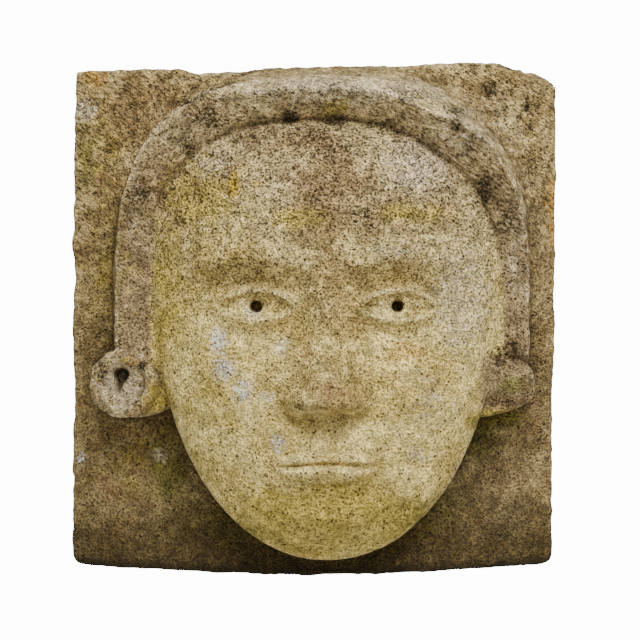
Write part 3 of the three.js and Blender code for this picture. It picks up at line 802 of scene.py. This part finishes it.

# The colours go on one over another: the bare stone, the soils, the worn pale edges with their painted
# highlight, the growths, soil and painted shade in the hollows, painted shade at the foot and along the
# bottom arris, the grain, and painted shade in the pits.
GROUNDS = {
    "stone": ("#ac986a", "#897450", "beds"),
    "cheeks": ("#dcc67c", "#bba25a", "beds"),
    "soil": ("#9d895a", "#735f38", "soils"),
}
ground = {}
for name, (pale, dark, mixing) in GROUNDS.items():
    ground[name] = add_node(stone_tree, "ShaderNodeMix", {
        0: spread[mixing], 6: linear(pale), 7: linear(dark)}, 2, data_type="RGBA")
coats = [
    ("MIX", ground["cheeks"], held["cheeks"]),
    ("MIX", linear("#7b684b"), held["band"]),
    ("MIX", ground["soil"], held["sunk"]),
    # Worn pale edges, with a painted highlight along them.
    ("MIX", linear("#d8c69a"), worn_and_highlit_edges),
]
coats += [("MIX", linear(growth[0]), growing[name]) for name, growth in GROWTHS.items()]
coats += [
    # Soil and painted shade in the hollows and creases.
    ("MIX", linear("#43321a"), held["soil_and_shade_in_hollows"]),
    # Painted shade under the chin and along the foot.
    ("MIX", linear("#3f3219"), held["painted_foot_shade"]),
    # Painted shade along the bottom arris.
    ("MIX", linear("#231c0c"), held["painted_bottom_edge_shade"]),
    ("MULTIPLY", shade, calmed),
    # Painted shade in the pits, over their bump.
    ("MIX", linear("#2b1f0e"), pit),
]
colour = ground["stone"]
for how, tint, share in coats:
    colour = add_node(stone_tree, "ShaderNodeMix", {0: share, 6: colour, 7: tint}, 2,
                      data_type="RGBA", blend_type=how)

# The relief of the surface, in millimetres: grain and small lumps, less the pits.
height = 0.0
for part, rise in ((grain, 3.8), (patchy, 0.8), (pit, -1.0)):
    height = add_node(stone_tree, "ShaderNodeMath", {0: part, 1: rise, 2: height},
                      operation="MULTIPLY_ADD")
bump = add_node(stone_tree, "ShaderNodeBump", {"Height": height, "Strength": 1.0, "Distance": MM})
stone_surface = add_node(stone_tree, "ShaderNodeBsdfPrincipled", {
    "Base Color": colour, "Roughness": 0.93, "Specular IOR Level": 0.2, "Normal": bump})
add_node(stone_tree, "ShaderNodeOutputMaterial", {"Surface": stone_surface})
stone_mesh.materials.append(limestone)


# ---------------------------------------------------------------------------------------------
# The studio: the stone is held clear of a pale floor, in a white surround, and lit by one broad soft
# light above and to the right of it, with the surround filling in.
# ---------------------------------------------------------------------------------------------
FLOOR_DROP, FLOOR_REACH = 0.5, 1.8
floor_z = stone_low.z - FLOOR_DROP
corners = [(x * FLOOR_REACH, y * FLOOR_REACH, floor_z) for x, y in ((-1, -1), (1, -1), (1, 1), (-1, 1))]
floor_mesh = bpy.data.meshes.new("studio_floor")
floor_mesh.from_pydata(corners, [], [(0, 1, 2, 3)])
floor = bpy.data.objects.new("studio_floor", floor_mesh)
bpy.context.scene.collection.objects.link(floor)
paper = bpy.data.materials.new("pale_paper")
paper.use_nodes = True
paper.node_tree.nodes.clear()
paper_surface = add_node(paper.node_tree, "ShaderNodeBsdfPrincipled", {
    "Base Color": linear("#e9e8e4"), "Roughness": 0.9})
add_node(paper.node_tree, "ShaderNodeOutputMaterial", {"Surface": paper_surface})
floor_mesh.materials.append(paper)

FILL_BELOW, FILL_ABOVE = 0.20, 0.82      # how strongly the surround lights the stone
BACKDROP = 14.0                          # how white the surround is to look at
surround = bpy.data.worlds.new("white_surround")
surround.use_nodes = True
sky_tree = surround.node_tree
sky_tree.nodes.clear()
direction = add_node(sky_tree, "ShaderNodeTexCoord", {}, "Generated")
upward = add_node(sky_tree, "ShaderNodeSeparateXYZ", {0: direction}, "Z")
fill = add_node(sky_tree, "ShaderNodeMapRange", {
    "Value": upward, "From Min": -0.5, "From Max": 0.9, "To Min": FILL_BELOW, "To Max": FILL_ABOVE})
looked_at = add_node(sky_tree, "ShaderNodeLightPath", {}, "Is Camera Ray")
strength = add_node(sky_tree, "ShaderNodeMapRange", {
    "Value": looked_at, "To Min": fill, "To Max": BACKDROP})
white = add_node(sky_tree, "ShaderNodeBackground", {"Color": (1, 1, 1, 1), "Strength": strength})
add_node(sky_tree, "ShaderNodeOutputWorld", {"Surface": white})
bpy.context.scene.world = surround

lamp_place = Vector((0.30, -1.15, 1.15))
lit_place = Vector((0, -0.1, 0))
overhead = bpy.data.lights.new("overhead", "AREA")
overhead.shape = "DISK"
overhead.size = 1.1
overhead.energy = 39
lamp = bpy.data.objects.new("overhead", overhead)
lamp.location = lamp_place
lamp.rotation_euler = (lit_place - lamp_place).to_track_quat("-Z", "Y").to_euler()
bpy.context.scene.collection.objects.link(lamp)
